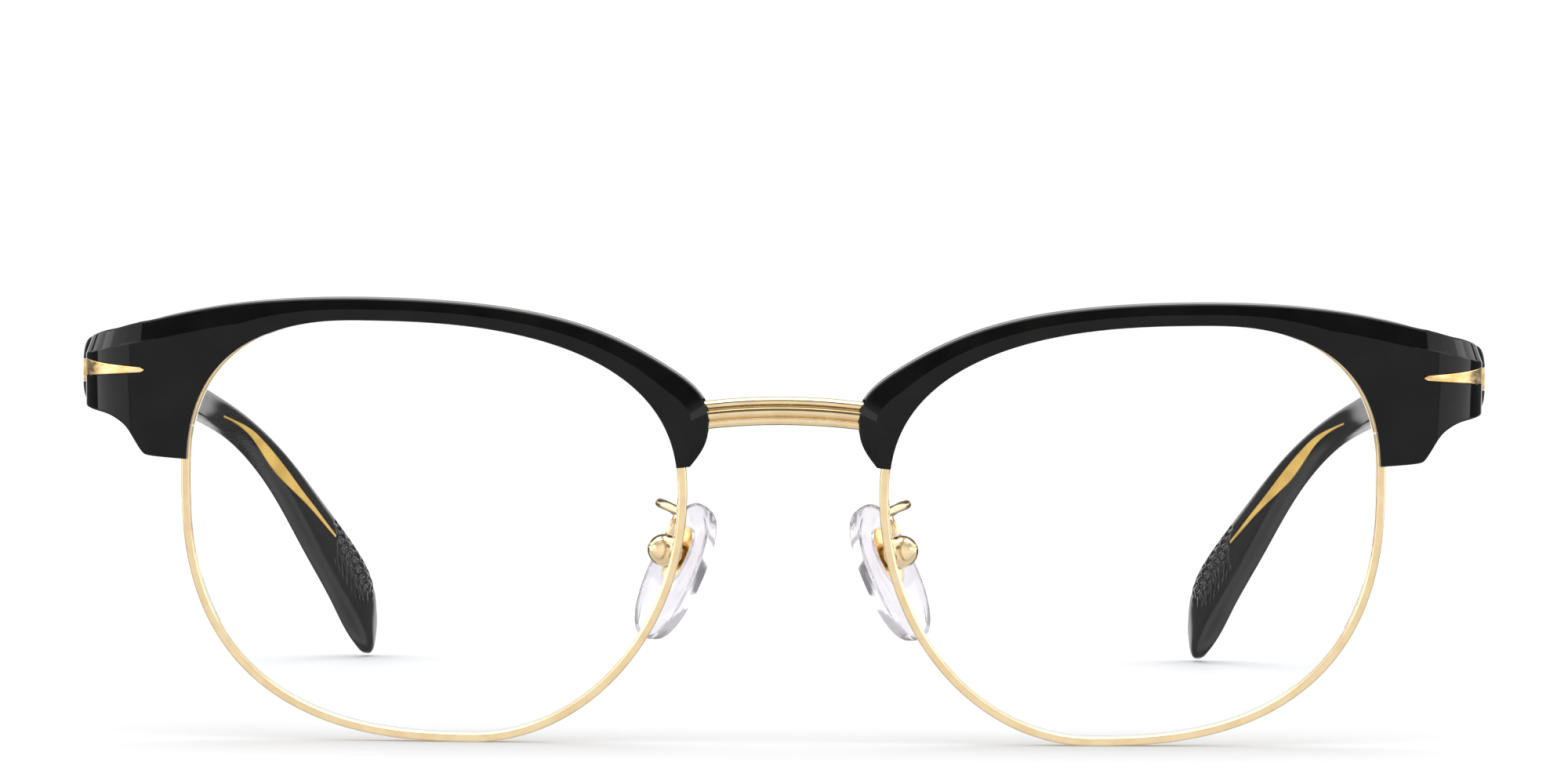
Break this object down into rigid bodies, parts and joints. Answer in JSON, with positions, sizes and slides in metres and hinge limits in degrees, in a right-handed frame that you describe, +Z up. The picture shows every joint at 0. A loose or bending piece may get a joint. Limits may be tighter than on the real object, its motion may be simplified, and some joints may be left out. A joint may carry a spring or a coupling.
{
  "type": "half rim eyeglasses",
  "caption": "Browline eyeglasses: black acetate brows over thin gold rims, ridged metal bridge, clear lenses, adjustable nose pads and folding acetate temples.",
  "frame": {"origin": "middle of the footprint, on the surface that the glasses stand on with the temples open", "axes": "+Z up, the front faces -Y and the temples run back along +Y, +X is the wearer's left"},
  "size_m": [0.1458, 0.153, 0.0454],
  "materials": {
    "black_acetate": "polished black cellulose acetate",
    "gold_metal": "polished pale gold plating",
    "inlay_gold": "deeper gold, finely brushed",
    "screw_metal": "plated screw, satin",
    "clear_lens": "clear polished optical resin",
    "clear_silicone": "clear moulded silicone"
  },
  "bodies": {
    "front": {"bridge": "gold_metal", "left_eyewire": "gold_metal", "left_lens": "clear_lens", "left_brow": "black_acetate", "left_brow_inlay": "inlay_gold", "left_closing_block_upper": "gold_metal", "left_closing_block_lower": "gold_metal", "left_closing_screw": "screw_metal", "left_end_piece": "gold_metal", "left_brow_screw_outer": "screw_metal", "left_brow_screw_inner": "screw_metal", "left_pad_arm": "gold_metal", "left_pad_box": "gold_metal", "left_pad_screw": "screw_metal", "left_hinge_screw": "screw_metal", "right_eyewire": "gold_metal", "right_lens": "clear_lens", "right_brow": "black_acetate", "right_brow_inlay": "inlay_gold", "right_closing_block_upper": "gold_metal", "right_closing_block_lower": "gold_metal", "right_closing_screw": "screw_metal", "right_end_piece": "gold_metal", "right_brow_screw_outer": "screw_metal", "right_brow_screw_inner": "screw_metal", "right_pad_arm": "gold_metal", "right_pad_box": "gold_metal", "right_pad_screw": "screw_metal", "right_hinge_screw": "screw_metal"},
    "left_arm": {"left_temple": "black_acetate", "left_temple_core": "inlay_gold", "left_temple_inlay": "inlay_gold", "left_temple_leaf": "gold_metal", "left_leaf_rivet_1": "screw_metal", "left_leaf_rivet_2": "screw_metal"},
    "right_arm": {"right_temple": "black_acetate", "right_temple_core": "inlay_gold", "right_temple_inlay": "inlay_gold", "right_temple_leaf": "gold_metal", "right_leaf_rivet_1": "screw_metal", "right_leaf_rivet_2": "screw_metal"},
    "left_pad": {"left_nose_pad": "clear_silicone", "left_pad_insert": "inlay_gold"},
    "right_pad": {"right_nose_pad": "clear_silicone", "right_pad_insert": "inlay_gold"}
  },
  "joints": [
    {"name": "left_temple_fold", "type": "hinge", "parent": "front", "child": "left_arm", "pos_m": [0.0672, -0.06104, 0.0377], "axis": [0, 0, 1], "range_deg": [0, 85]},
    {"name": "right_temple_fold", "type": "hinge", "parent": "front", "child": "right_arm", "pos_m": [-0.0672, -0.06104, 0.0377], "axis": [0, 0, -1], "range_deg": [0, 79]},
    {"name": "left_pad_rock", "type": "hinge", "parent": "front", "child": "left_pad", "pos_m": [0.01205, -0.06733, 0.01954], "axis": [-0.5561, -0.7762, -0.2969], "range_deg": [-8, 8]},
    {"name": "right_pad_rock", "type": "hinge", "parent": "front", "child": "right_pad", "pos_m": [-0.01205, -0.06733, 0.01954], "axis": [0.5561, -0.7762, -0.2969], "range_deg": [-8, 8]}
  ]
}
